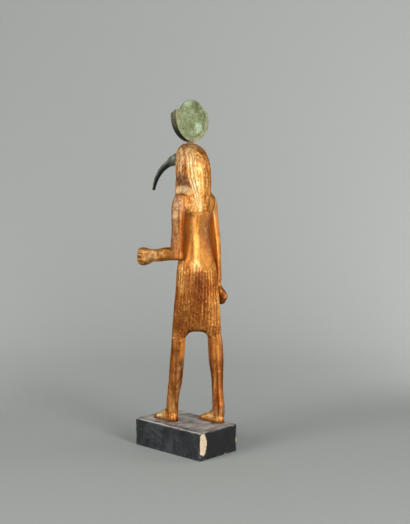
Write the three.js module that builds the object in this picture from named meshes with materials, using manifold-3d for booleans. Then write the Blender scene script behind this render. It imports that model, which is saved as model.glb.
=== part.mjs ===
// A striding ibis-headed figure, carved in wood and gilded, with a bronze bill set into its face, a bronze
// disc and crescent on its crown, and a black-painted wooden plinth. Millimetres, +Z up. The figure faces -Y
// and its own left is +X. The origin is the middle of the plinth's underside.
import * as THREE from 'three';
import { mergeVertices } from 'three/addons/utils/BufferGeometryUtils.js';
import Module from 'manifold-3d';

const wasm = await Module();
wasm.setup();

// Driving dimensions

const figure = {
  height: 301, // soles to crown
  carvedAt: 301, // the height that the carving's own measures below belong to
};

const plinth = {
  height: 30,
  marginFront: 12.65, // from the advanced toes to the front edge
  marginBack: 12.45, // from the rear heel to the back edge
  marginLeft: 13.7, // from the left foot to the left side
  marginRight: 3.3, // the figure stands off centre, towards its right
  cornerRadius: 1.2,
  edgeRound: 0.7,
  chipDepth: 2.3, // from the corner, square to the chip's face
  chipTurn: 77, // the way the chip's face looks, in degrees from +X: it runs farther along the back
  chipHeight: 23,
  chipAbove: 17.8, // the middle of the chip above the underside
};

const bill = {
  rootHeight: 12.8, // at the thick end of the root, where it leaves the face
  rootWidth: 7.2,
  stepHeight: 10.3, // at the thin end of the root, where it steps down to the blade
  stepWidth: 6.7,
  stepAt: 28.8, // in front of the axis
  bladeHeight: 8, // where the blade would leave the face
  bladeWidth: 6.2,
  tipHeight: 3.4,
  tipWidth: 3.2,
  heightTaper: 1.8, // above 1 the blade thins mostly near its tip
  widthTaper: 1.2,
  squareness: 3.2,
  setIn: 3, // how far the root is let into the face
  wall: 0.9, // gilded wood left round the root
};

const disc = {
  radius: 20.55,
  crescentBelow: 3.4, // from the disc's lowest point to the crescent's
  lap: 1.6, // how far the crescent laps over the disc's edge
  crescentThickness: 8.8,
  thickness: 2.4,
  setBack: 2, // how far the disc's middle is behind the crescent's
  edgeRound: 0.5,
  swell: 0.5, // how much each face of the disc swells at its middle
  swellShoulder: 0.6, // the share of the radius, and of the swell, at the profile's middle point
  hornSlope: 0.6, // how steeply the horns' ends fall towards the front
  standOff: 1.6, // from the crown to the lowest point of the crescent
  footRadius: 3.7,
  footSeat: 1.6, // how deep the foot of the casting sits in the crown
  behindAxis: 1.4,
};

// The crescent's outer edge at a disc radius of crescentDrawnAt, from the figure's left horn down and round
// to its right one: distance to the figure's left of the disc's middle, and height above the crescent's
// lowest point.
const crescentDrawnAt = 20.55;
const crescentEdge = [
  [25.2, 34.9],
  [25.5, 29],
  [24.8, 22.6],
  [22.9, 16.1],
  [18.9, 9.9],
  [12.8, 4.5],
  [5.6, 0.9],
  [-1.5, 0],
  [-8.5, 1.4],
  [-15.4, 5],
  [-21.3, 10.2],
  [-24.1, 15.6],
  [-24.6, 21],
  [-23.9, 26.6],
  [-22.3, 31.6],
];

const crescentSteps = 28; // straight pieces along each of the crescent's two edges

// The inner corner of each blunt horn, the left horn's first.
const hornCorners = [
  [18.9, 33.2],
  [-17.6, 33.9],
];

const fitClearance = 0.3;

// Poses and carving: measures at figure.carvedAt, above the soles and from the body's upright axis

const scale = figure.height / figure.carvedAt;

const stance = { leftX: 15.8, rightX: -13.6, toesFront: 36.7, heelBack: 36.9, footHalf: 5.4 };

const strideTurn = -43; // degrees from +X to the line through both legs

// Each station is the middle of a ring, its two half sizes, its turn in degrees and its squareness,
// where 2 is an ellipse and larger is squarer.
const station = (x, y, z, halfAcross, halfDeep, turn = 0, square = 2.3) => [
  x, y, z, halfAcross, halfDeep, turn, square,
];

const trunk = [
  station(0.2, 10.8, 94, 26.6, 9.4, strideTurn, 3.2),
  station(0.1, 10.8, 103, 26.2, 11.2, strideTurn, 3),
  station(0, 11, 112, 25.7, 12.6, -40, 2.8),
  station(0, 11.3, 129, 24.8, 14.6, -30, 2.6),
  station(0, 11.4, 144, 23.6, 15.9, -20, 2.4),
  station(0, 11.2, 159, 23.1, 16.5, -10, 2.4),
  station(0, 10.9, 169, 22.8, 16.5, 0, 2.4),
  station(0, 10.6, 178, 20.9, 15.1, 0, 2.4),
  station(0, 10.6, 188, 17.8, 12.9, 0, 2.4),
  station(0, 10.6, 203, 15.1, 10.5, 0, 2.4),
  station(0, 10.6, 216, 16, 11, 0, 2.4),
  station(0, 10.6, 226, 18.4, 11.6, 0, 2.4),
  station(0, 10.6, 233, 24, 11.6, 0, 2.6),
  station(0, 10.2, 240, 25, 10.6, 0, 2.6),
  station(0, 9.7, 246, 24, 9.8, 0, 2.4),
  station(0, 9.3, 251, 19.4, 9, 0, 2.3),
  station(0, 9, 257, 13, 8, 0, 2.2),
];

const leftLeg = [
  station(15.2, -11.6, 2, 5.2, 5.8),
  station(15.1, -11.7, 12, 6, 6.4),
  station(15, -11.3, 21, 6, 6.5),
  station(14.8, -9.9, 32, 6.1, 6.7),
  station(14.6, -7.3, 45, 6.8, 7.5),
  station(14.5, -5.8, 59, 6.9, 7.6),
  station(14.4, -4.1, 75, 7, 7.8),
  station(14.3, -2.8, 86, 7.4, 7.9, strideTurn, 2.4),
  station(14.1, -2.5, 94, 7.4, 8.2, strideTurn, 2.4),
  station(12, -0.4, 106, 6, 7.4, strideTurn, 2.4),
];

const rightLeg = [
  station(-14, 30, 2, 5.2, 5.6),
  station(-14.1, 30.1, 12, 6.1, 6.6),
  station(-14.2, 29.6, 20, 6, 6.6),
  station(-14.5, 28.1, 35, 5.5, 6.1),
  station(-14.7, 27.3, 50, 5.8, 6.5),
  station(-14.8, 26.4, 60, 6.6, 7.4),
  station(-14.8, 25.8, 69, 7.3, 8.1),
  station(-14.5, 24.7, 85, 7.9, 8.3, strideTurn, 2.4),
  station(-14, 24.3, 94, 7.6, 8.4, strideTurn, 2.4),
  station(-11.8, 21.8, 106, 6, 7.4, strideTurn, 2.4),
];

// A foot from heel to toe: distance from the heel, half width, height.
const footLength = 32.6;
const footStations = [
  [0, 2.6, 5],
  [1.2, 4.1, 8.6],
  [4, 5, 12.5],
  [8.5, 5.4, 15.5],
  [14.5, 5.4, 13.6],
  [18.5, 5.4, 10.6],
  [23, 5.4, 8.1],
  [27.8, 5.3, 6],
  [31, 4.3, 4.6],
  [footLength, 3, 3.4],
];

const leftArm = [
  station(25.8, 8, 180, 4.6, 6.6, 0, 2.8),
  station(25.8, 7.2, 192, 4.8, 7.9, 0, 2.8),
  station(25.8, 7.5, 200, 4.8, 7.7, 0, 2.8),
  station(25.8, 8.4, 210, 5, 7.1, 0, 2.8),
  station(25.8, 8.7, 228, 5.8, 7.6, 0, 2.6),
  station(24.9, 8.9, 239, 6, 7.4, 0, 2.4),
  station(22.8, 9, 246.4, 5.2, 6.4, 0, 2.3),
];

const leftForearm = [
  station(25.8, 8, 184.6, 4.7, 6.2, 0, 2.6),
  station(25.6, -8, 184.1, 4.8, 7.1, 0, 2.6),
  station(25.3, -21, 181.7, 4.7, 6.9, 0, 2.6),
  station(25.1, -31, 181, 5, 6.7, 0, 2.6),
  station(25, -37, 179.8, 5.8, 7.8, 0, 2.8),
  station(25, -44, 178.8, 6.3, 10, 0, 2.8),
  station(25, -49.6, 178.7, 5.7, 9.2, 0, 2.8),
];

const rightArm = [
  station(-29.1, 14.6, 147, 3.4, 4.9, 0, 2.6),
  station(-29, 14.1, 155, 3.6, 5, 0, 2.6),
  station(-28.4, 13.1, 172, 4, 5.7, 0, 2.7),
  station(-27.6, 12, 194, 4.4, 6.5, 0, 2.8),
  station(-26.5, 9.9, 212, 4.6, 6.8, 0, 2.8),
  station(-25.8, 8.8, 226, 4.9, 7, 0, 2.6),
  station(-24.6, 8.8, 237, 5.6, 7, 0, 2.4),
  station(-23, 8.8, 243, 5, 6, 0, 2.3),
];

const rightFist = [
  station(-29.2, 17.1, 129, 4.4, 8.2, 0, 2.8),
  station(-29.7, 17.7, 134.6, 5.4, 10.3, 0, 2.8),
  station(-29.5, 16.2, 141, 4.7, 7.4, 0, 2.8),
  station(-29.1, 14.6, 148.5, 3.6, 5, 0, 2.6),
];

// The wig's cap, running down into the lappet on the back.
const wig = [
  station(0, 17, 228, 9.2, 6.9, 0, 2.8),
  station(0, 16.2, 238, 10, 8, 0, 2.8),
  station(0, 14.2, 248, 12.7, 10.4, 0, 2.6),
  station(0, 10.3, 257, 15.4, 14.4, 0, 2.5),
  station(0, 6.5, 266, 16.6, 18, 0, 2.6),
  station(0, 5.2, 279, 16.4, 17.6, 0, 2.6),
  station(0, 4, 287, 15.3, 16.3, 0, 2.6),
  station(0, 2.4, 291.7, 14.3, 15.3, 0, 2.5),
  station(0, 1.4, 296, 12.9, 13.5, 0, 2.3),
  station(0, 0.8, 299.2, 9.4, 9.9, 0, 2.1),
  station(0, 0.5, 300.6, 6.6, 6.9, 0, 2),
];

// The wig's front edge, where the face comes out of it: its distance in front of the axis at a height,
// and how far it leans back for each millimetre above that.
const wigFront = { ahead: 7.5, height: 285, lean: 0.15 };

// One front lappet; `side` is 1 on the figure's left and -1 on its right.
const frontLappet = (side) => [
  station(side * 8.6, 0, 214, 5.4, 3.6, 0, 2.8),
  station(side * 8.4, -1.2, 228, 6, 4.6, 0, 2.8),
  station(side * 8, -3, 244, 6.6, 5.8, 0, 2.6),
  station(side * 7.4, -3.2, 259, 7.4, 6.6, 0, 2.4),
  station(side * 6, -0.6, 274, 8, 7.4, 0, 2.3),
];

const neck = [
  station(0, 6, 242, 13.6, 11.5, 0, 2.3),
  station(0, 4.6, 262, 14.8, 13.5, 0, 2.3),
];

const face = [
  station(0, 0, 282, 11, 13.5, 0, 2.2),
  station(0, -7, 283, 10.6, 11.4, 0, 2.2),
  station(0, -12, 285, 7.7, 8.9, 0, 2.2),
  station(0, -15, 285.4, bill.rootWidth / 2 + bill.wall, bill.rootHeight / 2 + bill.wall, 0, 2.6),
];

// The kilt's arch between the legs, in the upright plane through both legs.
const arch = { halfWidth: 12.2, top: 100.6, cornerRadius: 8.4, bottom: 80, halfDepth: 30 };

// The bill's middle line: distance in front of the axis and height above the soles.
const billLine = [
  [14.6, 285.4],
  [22, 283.1],
  [28.6, 280.5],
  [35.6, 276.8],
  [42.6, 271.8],
  [48.2, 265.5],
  [52.3, 258.4],
  [54.9, 250.3],
];

const ringSides = {
  trunk: 32, wig: 28, lappet: 16, limb: 14, hand: 16, bill: 14, disc: 40, post: 16, scoop: 96, foot: 10,
};

// Shape helpers

// A closed skin over rings with equally many points, with both ends fanned shut. Each four points are
// split along their shorter diagonal.
function skin(rings) {
  const count = rings[0].length;
  const spot = (i) => rings[Math.floor(i / count)][i % count];
  const positions = rings.flat().flatMap((point) => point.toArray());
  const index = [];
  for (let ring = 0; ring + 1 < rings.length; ring += 1) {
    for (let i = 0; i < count; i += 1) {
      const low = ring * count + i;
      const lowNext = ring * count + ((i + 1) % count);
      const high = low + count;
      const highNext = lowNext + count;
      if (spot(low).distanceTo(spot(highNext)) <= spot(lowNext).distanceTo(spot(high))) {
        index.push(low, lowNext, highNext, low, highNext, high);
      } else {
        index.push(low, lowNext, high, lowNext, highNext, high);
      }
    }
  }
  const middle = (ring) => {
    const sum = new THREE.Vector3();
    ring.forEach((point) => sum.add(point));
    return sum.divideScalar(count);
  };
  const first = rings.length * count;
  positions.push(...middle(rings[0]).toArray(), ...middle(rings.at(-1)).toArray());
  const lastRing = (rings.length - 1) * count;
  for (let i = 0; i < count; i += 1) {
    const next = (i + 1) % count;
    index.push(first, next, i);
    index.push(first + 1, lastRing + i, lastRing + next);
  }
  const geometry = new THREE.BufferGeometry();
  geometry.setAttribute('position', new THREE.Float32BufferAttribute(positions, 3));
  geometry.setIndex(index);
  return geometry;
}

// One ring of a superellipse around a middle point, in the plane of two unit directions.
function superRing(middle, across, deep, values, sides, shrink = 1) {
  const [halfAcross, halfDeep, turn, square] = values;
  const bend = (value) => Math.sign(value) * Math.abs(value) ** (2 / square);
  const turned = THREE.MathUtils.degToRad(turn);
  const ring = [];
  for (let i = 0; i < sides; i += 1) {
    const angle = (2 * Math.PI * i) / sides;
    const u = shrink * halfAcross * bend(Math.cos(angle));
    const v = shrink * halfDeep * bend(Math.sin(angle));
    const alongAcross = u * Math.cos(turned) - v * Math.sin(turned);
    const alongDeep = u * Math.sin(turned) + v * Math.cos(turned);
    ring.push(middle.clone().addScaledVector(across, alongAcross).addScaledVector(deep, alongDeep));
  }
  return ring;
}

// A smooth body through stations. Its rings are level, or square to the path where `level` is false.
// `domes` are the heights of its rounded start and end.
function loft(stations, { steps, sides, level = true, domes = [0, 0], domeRings = 3 }) {
  const distances = [0];
  for (let i = 1; i < stations.length; i += 1) {
    const before = new THREE.Vector3(...stations[i - 1]);
    distances.push(distances[i - 1] + before.distanceTo(new THREE.Vector3(...stations[i])));
  }
  const spline = new THREE.CubicInterpolant(distances, stations.flat(), stations[0].length);
  const total = distances.at(-1);
  const rows = [];
  for (let i = 0; i <= steps; i += 1) rows.push([...spline.evaluate((total * i) / steps)]);
  const across = new THREE.Vector3(1, 0, 0);
  const headingAt = (i) => {
    if (level) return new THREE.Vector3(0, 0, 1);
    const from = new THREE.Vector3(...rows[Math.max(i - 1, 0)]);
    return new THREE.Vector3(...rows[Math.min(i + 1, steps)]).sub(from).normalize();
  };
  const ringAt = (i, shrink, shift) => {
    const heading = headingAt(i);
    const flatAcross = across.clone().addScaledVector(heading, -across.dot(heading)).normalize();
    const deep = heading.clone().cross(flatAcross);
    const middle = new THREE.Vector3(...rows[i]).addScaledVector(heading, shift);
    return superRing(middle, flatAcross, deep, rows[i].slice(3), sides, shrink);
  };
  const domed = (i, height, sign) => {
    const rings = [];
    for (let k = 1; height > 0 && k <= domeRings; k += 1) {
      const angle = (k / (domeRings + 0.5)) * (Math.PI / 2);
      rings.push(ringAt(i, Math.cos(angle), sign * height * Math.sin(angle)));
    }
    return rings;
  };
  const body = rows.map((row, i) => ringAt(i, 1, 0));
  return skin([...domed(0, domes[0], -1).reverse(), ...body, ...domed(steps, domes[1], 1)]);
}

// A geometry as a solid for joining and cutting.
function solid(geometry) {
  const bare = geometry.clone();
  bare.deleteAttribute('normal');
  bare.deleteAttribute('uv');
  const merged = mergeVertices(bare, 1e-4);
  return new wasm.Manifold(new wasm.Mesh({
    numProp: 3,
    vertProperties: new Float32Array(merged.attributes.position.array),
    triVerts: new Uint32Array(merged.index.array),
  }));
}

const joined = (geometries) => geometries.map(solid).reduce((sum, next) => sum.add(next));

// A solid as a named mesh with its own material.
function meshOf(name, body, look) {
  const mesh = body.getMesh();
  const geometry = new THREE.BufferGeometry();
  geometry.setAttribute('position', new THREE.BufferAttribute(mesh.vertProperties, 3));
  geometry.setIndex(new THREE.BufferAttribute(mesh.triVerts, 1));
  geometry.computeVertexNormals();
  const made = new THREE.Mesh(geometry, new THREE.MeshStandardMaterial(look));
  made.name = name;
  return made;
}

// The figure, at figure.carvedAt, soles at zero

// A foot on its flat sole, pointing to -Y, with its heel at `heelY`.
function foot(x, heelY) {
  const steps = 12;
  const spline = new THREE.CubicInterpolant(
    footStations.map(([along]) => along),
    footStations.flat(),
    footStations[0].length,
  );
  const fuller = 0.8; // below 1 the section is fuller than a half ellipse
  const rings = [];
  for (let i = 0; i <= steps; i += 1) {
    const [along, halfWidth, height] = spline.evaluate((footLength * i) / steps);
    const ring = [];
    for (let k = 0; k < ringSides.foot; k += 1) {
      const angle = (Math.PI * k) / (ringSides.foot - 1);
      const across = Math.sign(Math.cos(angle)) * Math.abs(Math.cos(angle)) ** fuller;
      const up = Math.sin(angle) ** fuller;
      ring.push(new THREE.Vector3(x + halfWidth * across, heelY - along, height * up));
    }
    rings.push(ring);
  }
  return skin(rings);
}

// The tool that opens the kilt between the legs.
function archTool() {
  const { halfWidth, top, cornerRadius, bottom, halfDepth } = arch;
  const outline = new THREE.Shape();
  outline.moveTo(-halfWidth, bottom);
  outline.lineTo(halfWidth, bottom);
  outline.lineTo(halfWidth, top - cornerRadius);
  outline.absarc(halfWidth - cornerRadius, top - cornerRadius, cornerRadius, 0, Math.PI / 2);
  outline.absarc(cornerRadius - halfWidth, top - cornerRadius, cornerRadius, Math.PI / 2, Math.PI);
  const tool = new THREE.ExtrudeGeometry(outline, {
    depth: 2 * halfDepth, bevelEnabled: false, curveSegments: 8,
  });
  tool.translate(0, 0, -halfDepth);
  tool.rotateX(Math.PI / 2);
  tool.rotateZ(THREE.MathUtils.degToRad(strideTurn));
  const [x, y] = trunk[0];
  tool.translate(x, y, 0);
  return tool;
}

// The wig's cap and back lappet, cut off along its front edge so that the face comes out of it.
function wigCap() {
  const { ahead, height, lean } = wigFront;
  const whole = loft(wig, {
    sides: ringSides.wig, steps: 18, domes: [0, figure.carvedAt - wig.at(-1)[2]], domeRings: 1,
  });
  const steepness = Math.hypot(lean, 1);
  const away = -(ahead + lean * height) / steepness;
  return solid(whole).trimByPlane([0, 1 / steepness, -lean / steepness], away);
}

function carvedFigure() {
  const limb = { sides: ringSides.limb, steps: 13 };
  const hand = { sides: ringSides.hand, steps: 6, level: false };
  const body = solid(loft(trunk, { sides: ringSides.trunk, steps: 25 })).subtract(solid(archTool()));
  const rest = joined([
    loft(leftLeg, limb),
    loft(rightLeg, limb),
    foot(stance.leftX, footLength - stance.toesFront),
    foot(stance.rightX, stance.heelBack),
    loft(leftArm, { sides: ringSides.limb, steps: 10, domes: [1.5, 2.6] }),
    loft(rightArm, { sides: ringSides.limb, steps: 13, domes: [0, 3] }),
    loft(leftForearm, { ...hand, steps: 14, domes: [2, 2] }),
    loft(rightFist, { ...hand, level: true, domes: [2.5, 0] }),
    loft(neck, { sides: ringSides.lappet, steps: 2 }),
    loft(frontLappet(1), { sides: ringSides.lappet, steps: 8 }),
    loft(frontLappet(-1), { sides: ringSides.lappet, steps: 8 }),
    loft(face, { sides: ringSides.lappet, steps: 5, level: false }),
  ]);
  return body.add(rest).add(wigCap());
}

// The bill, `grow` larger all round when it is the tool for its own socket: a curved blade, and over its
// first part a thicker root that steps down to it.
function billBody(grow = 0) {
  const ring = (front, up, height, width) => (
    station(0, -front, up, width / 2 + grow, height / 2 + grow, 0, bill.squareness)
  );
  const blade = billLine.map(([front, up], i) => {
    const share = i / (billLine.length - 1);
    const height = THREE.MathUtils.lerp(bill.bladeHeight, bill.tipHeight, share ** bill.heightTaper);
    const width = THREE.MathUtils.lerp(bill.bladeWidth, bill.tipWidth, share ** bill.widthTaper);
    return ring(front, up, height, width);
  });
  const [[faceFront, faceUp], [nextFront, nextUp]] = billLine;
  const slope = (nextUp - faceUp) / (nextFront - faceFront);
  const stepUp = faceUp + slope * (bill.stepAt - faceFront);
  const root = [
    ring(faceFront - bill.setIn - grow, faceUp, bill.rootHeight, bill.rootWidth),
    ring(faceFront, faceUp, bill.rootHeight, bill.rootWidth),
    ring(bill.stepAt, stepUp, bill.stepHeight, bill.stepWidth),
  ];
  const sides = ringSides.bill;
  return joined([
    loft(blade, { sides, steps: 15, level: false, domes: [0, 0.8], domeRings: 2 }),
    loft(root, { sides, steps: 4, level: false }),
  ]);
}

// Disc and crescent as one casting with its foot, upright in the XZ plane, its lowest rim at z = 0.
function discCasting() {
  const { radius, crescentBelow, edgeRound, swell, swellShoulder } = disc;
  const discMiddle = crescentBelow + radius;
  const grown = radius / crescentDrawnAt;
  const drawn = ([x, z]) => new THREE.Vector2(x * grown, z * grown);
  const edge = crescentEdge.map(drawn);
  const [leftCorner, rightCorner] = hornCorners.map(drawn);
  const angleOf = ({ x, y }) => Math.atan2(y - discMiddle, x);
  const innerRadius = radius - disc.lap;
  const innerEdge = new THREE.EllipseCurve(
    0, discMiddle, innerRadius, innerRadius, angleOf(rightCorner), angleOf(leftCorner) + 2 * Math.PI,
  );
  const outline = new THREE.Shape([
    ...new THREE.SplineCurve(edge).getPoints(crescentSteps),
    rightCorner,
    ...innerEdge.getPoints(crescentSteps),
    leftCorner,
  ]);
  const crescent = new THREE.ExtrudeGeometry(outline, {
    depth: disc.crescentThickness - 2 * edgeRound,
    bevelThickness: edgeRound,
    bevelSize: edgeRound,
    bevelOffset: -edgeRound,
    bevelSegments: 1,
  });
  crescent.translate(0, 0, edgeRound - disc.crescentThickness / 2);
  crescent.rotateX(Math.PI / 2);
  const half = disc.thickness / 2;
  const halfProfile = [
    [0, half + swell],
    [swellShoulder * radius, half + swellShoulder * swell],
    [radius - edgeRound, half],
    [radius, half - edgeRound],
  ];
  const profile = [
    ...halfProfile.map(([r, along]) => new THREE.Vector2(r, -along)),
    ...halfProfile.reverse().map(([r, along]) => new THREE.Vector2(r, along)),
  ];
  const round = new THREE.LatheGeometry(profile, ringSides.disc);
  round.translate(0, disc.setBack, discMiddle);
  const footHeight = disc.standOff + disc.footSeat;
  const post = footPost(disc.footRadius, footHeight + crescentBelow);
  post.translate(0, 0, -footHeight);
  const backOfHorn = disc.crescentThickness / 2;
  const slope = disc.hornSlope;
  const steepness = Math.hypot(slope, 1);
  const hornCut = (slope * backOfHorn - edge[0].y) / steepness;
  const sloped = solid(crescent).trimByPlane([0, slope / steepness, -1 / steepness], hornCut);
  return sloped.add(joined([round, post]));
}

// A round post standing on z = 0.
function footPost(radius, height) {
  const post = new THREE.CylinderGeometry(radius, radius, height, ringSides.post);
  post.rotateX(Math.PI / 2);
  post.translate(0, 0, height / 2);
  return post;
}

// The plinth, its underside at z = 0 and its middle at the origin.
function plinthBody(width, length) {
  const { height, edgeRound, cornerRadius, chipDepth, chipHeight, chipAbove } = plinth;
  const chipTurn = THREE.MathUtils.degToRad(plinth.chipTurn);
  const x = width / 2 - cornerRadius;
  const y = length / 2 - cornerRadius;
  const outline = new THREE.Shape();
  outline.absarc(x, y, cornerRadius, 0, Math.PI / 2);
  outline.absarc(-x, y, cornerRadius, Math.PI / 2, Math.PI);
  outline.absarc(-x, -y, cornerRadius, Math.PI, 1.5 * Math.PI);
  outline.absarc(x, -y, cornerRadius, 1.5 * Math.PI, 2 * Math.PI);
  const block = new THREE.ExtrudeGeometry(outline, {
    depth: height - 2 * edgeRound,
    curveSegments: 3,
    bevelThickness: edgeRound,
    bevelSize: edgeRound,
    bevelOffset: -edgeRound,
    bevelSegments: 2,
  });
  block.translate(0, 0, edgeRound);
  const chipRadius = (chipDepth ** 2 + (chipHeight / 2) ** 2) / (2 * chipDepth);
  const chipLength = 2 * chipDepth * Math.max(Math.tan(chipTurn), 1 / Math.tan(chipTurn)) + 2 * chipDepth;
  const scoop = new THREE.CylinderGeometry(chipRadius, chipRadius, chipLength, ringSides.scoop);
  scoop.rotateZ(chipTurn);
  const away = chipRadius - chipDepth;
  scoop.translate(width / 2 + away * Math.cos(chipTurn), length / 2 + away * Math.sin(chipTurn), chipAbove);
  return solid(block).subtract(solid(scoop));
}

// Assembly

const gold = { color: 0xb9762f, roughness: 0.42, metalness: 0.75 };
const bronzeDark = { color: 0x4c5047, roughness: 0.55, metalness: 0.4 };
const bronzeGreen = { color: 0x8f9a77, roughness: 0.8, metalness: 0.15 };
const blackPaint = { color: 0x343434, roughness: 0.6, metalness: 0 };

const plinthLeft = (stance.leftX + stance.footHalf) * scale + plinth.marginLeft;
const plinthRight = (stance.rightX - stance.footHalf) * scale - plinth.marginRight;
const plinthFront = -stance.toesFront * scale - plinth.marginFront;
const plinthBack = stance.heelBack * scale + plinth.marginBack;

// Where the figure's own origin, between its soles, stands on the plinth.
const stand = new THREE.Vector3(
  -(plinthLeft + plinthRight) / 2,
  -(plinthFront + plinthBack) / 2,
  plinth.height,
);

// The casting's foot and the seat it stands in, in the figure's frame.
const castingPlace = [0, disc.behindAxis * scale, figure.height + disc.standOff];
const seatDepth = disc.footSeat + fitClearance;
const seat = footPost(disc.footRadius + fitClearance, 3 * seatDepth);
seat.translate(0, castingPlace[1], figure.height - seatDepth);

const bodyScale = [scale, scale, scale];
const woodBody = carvedFigure().scale(bodyScale)
  .subtract(billBody(fitClearance).scale(bodyScale))
  .subtract(solid(seat));

const onStand = [
  meshOf('gilded_figure', woodBody, gold),
  meshOf('beak', billBody().scale(bodyScale), bronzeDark),
  meshOf('lunar_disc', discCasting().translate(castingPlace), bronzeGreen),
];
const standing = new THREE.Group();
standing.add(...onStand);
standing.position.copy(stand);

const object = new THREE.Group();
object.add(standing);
object.add(meshOf('plinth', plinthBody(plinthLeft - plinthRight, plinthBack - plinthFront), blackPaint));

export default object;
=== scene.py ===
# %% [markdown]
# The object is a striding figure of Thoth with the head of an ibis. It is carved in wood and gilded, with
# a bronze bill, a bronze disc and crescent on the crown, and a black-painted plinth.
# The CAD part gives each piece's exact size and place. This scene takes a copy of each piece, adds what
# the carver and the years added, and gives it a material. Everything is in metres and +Z is up.

# %% The frame
import itertools
import math

import bpy
import numpy as np
from mathutils import Matrix, Vector


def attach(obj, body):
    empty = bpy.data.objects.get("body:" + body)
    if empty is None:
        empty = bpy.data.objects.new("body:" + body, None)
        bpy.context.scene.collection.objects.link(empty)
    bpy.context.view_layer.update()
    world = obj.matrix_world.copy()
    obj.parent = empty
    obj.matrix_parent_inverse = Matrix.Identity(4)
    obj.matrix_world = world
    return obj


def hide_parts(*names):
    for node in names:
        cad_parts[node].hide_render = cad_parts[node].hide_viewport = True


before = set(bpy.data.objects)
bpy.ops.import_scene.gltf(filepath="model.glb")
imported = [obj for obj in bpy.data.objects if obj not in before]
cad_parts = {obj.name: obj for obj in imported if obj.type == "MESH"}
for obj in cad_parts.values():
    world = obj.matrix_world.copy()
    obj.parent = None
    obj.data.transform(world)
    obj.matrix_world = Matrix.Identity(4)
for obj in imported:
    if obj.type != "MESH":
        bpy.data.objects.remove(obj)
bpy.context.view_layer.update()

print("CAD nodes:", sorted(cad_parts))

# %% [markdown]
# The figure was photographed from behind its left side, from a little above and from fairly far off, which
# keeps its upright lines nearly parallel. A camera can be turned by hand until the view looks right, but
# here its place and lens were found by fitting the plinth's corners, the feet, the crown and the disc, so
# the model lies over the picture.

# %% Camera
HEADING = math.radians(133.4)  # turn of the camera's right-hand side from +X
PITCH = math.radians(6.33)  # how far it looks down
STANDS_AT = (0.8391, 0.8226, 0.33475)
SENSOR = 36  # width of the film, mm
LENS = 1100 / 524 * SENSOR  # a focal length of 1100 pixels on a long side of 524

look = Vector((-math.sin(HEADING) * math.cos(PITCH), math.cos(HEADING) * math.cos(PITCH), -math.sin(PITCH)))
right = Vector((math.cos(HEADING), math.sin(HEADING), 0))
camera = bpy.data.objects.new("camera", bpy.data.cameras.new("camera"))
bpy.context.scene.collection.objects.link(camera)
camera.matrix_world = Matrix((right, right.cross(look), -look)).transposed().to_4x4()
camera.location = STANDS_AT
camera.data.lens = LENS
camera.data.sensor_width = SENSOR
bpy.context.scene.camera = camera
print("camera lens", round(LENS, 1), "mm")

# %% [markdown]
# The object stands on one sheet of paper that curves up behind it, as in a small studio. A floor and a wall
# would do as well, but they leave a line where they meet, and the curve hides it, so the background is one
# soft tone.

# %% Backdrop
away = Vector((look.x, look.y, 0)).normalized()
FLOOR_END = 0.45  # where the paper begins to curve up, metres past the object
BEND = 0.9  # the curve's radius
HALF_WIDTH = 3.0
WALL_TOP = 3.0
BEND_STEPS = 24


def backdrop():
    """A wide sweep: floor towards the camera, a quarter circle, then wall."""
    line = [(-2.5, 0.0), (-1.0, 0.0), (0.0, 0.0), (FLOOR_END, 0.0)]
    for i in range(1, BEND_STEPS + 1):
        angle = i / BEND_STEPS * math.pi / 2
        line.append((FLOOR_END + BEND * math.sin(angle), BEND * (1 - math.cos(angle))))
    line.append((FLOOR_END + BEND, WALL_TOP))
    points = [away * s + right * (side * HALF_WIDTH) + Vector((0, 0, z)) for s, z in line for side in (-1, 1)]
    faces = [(2 * i, 2 * i + 1, 2 * i + 3, 2 * i + 2) for i in range(len(line) - 1)]
    mesh = bpy.data.meshes.new("paper_sweep")
    mesh.from_pydata(points, [], faces)
    mesh.shade_smooth()
    made = bpy.data.objects.new("paper_sweep", mesh)
    bpy.context.scene.collection.objects.link(made)
    return made


paper = backdrop()
print("paper sweep:", len(paper.data.polygons), "faces")

# %% [markdown]
# The paper is uncoated, matt and pale grey, so it shows only light and soft shadow. Its colour is
# picked as sRGB hex, as in any paint program, but Cycles counts light in linear values. One function turns
# the first into the second for every material, so no colour is washed out.


# %% Paper
def tint(code):
    """An sRGB hex colour as linear red, green, blue and alpha."""
    values = [int(code[i : i + 2], 16) / 255 for i in (1, 3, 5)]
    return tuple(v / 12.92 if v <= 0.04045 else ((v + 0.055) / 1.055) ** 2.4 for v in values) + (1.0,)


def surface(name):
    """A material, its nodes and its Principled shader, ready for inputs."""
    made = bpy.data.materials.new(name)
    made.use_nodes = True
    return made, made.node_tree, made.node_tree.nodes["Principled BSDF"]


def plug(node, inputs):
    """An input given as a socket is linked, and any other value is set on the node's own socket."""
    for name, value in inputs.items():
        if isinstance(value, bpy.types.NodeSocket):
            node.id_data.links.new(value, node.inputs[name])
        else:
            node.inputs[name].default_value = value


grey_paper, tree, shader = surface("matt grey paper")
plug(shader, {"Base Color": tint("#A4A7A4"), "Roughness": 0.9, "Specular IOR Level": 0.1})
paper.data.materials.append(grey_paper)
print("paper colour, linear:", [round(v, 3) for v in tint("#A4A7A4")])

# %% [markdown]
# Gold leaf shows what it reflects more than what it is. A picture of a room could light it, but a few flat
# panels give reflections that can be placed one by one. The key is a tall narrow panel to the right of the
# camera: its reflection is the bright streak down the back. Wide panels fill from the left, the right and
# above, and the last two stand past the object, with their backs to it, and light only the paper. A weak,
# faintly warm world colour stands for the walls of the room.


# %% Lights
def around(azimuth, elevation, distance, height=0.2):
    """A place seen from the object: azimuth in degrees to the camera's right, then elevation."""
    a, e = math.radians(azimuth), math.radians(elevation)
    flat = right * math.sin(a) - away * math.cos(a)
    return flat * (distance * math.cos(e)) + Vector((0, 0, height + distance * math.sin(e)))


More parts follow.
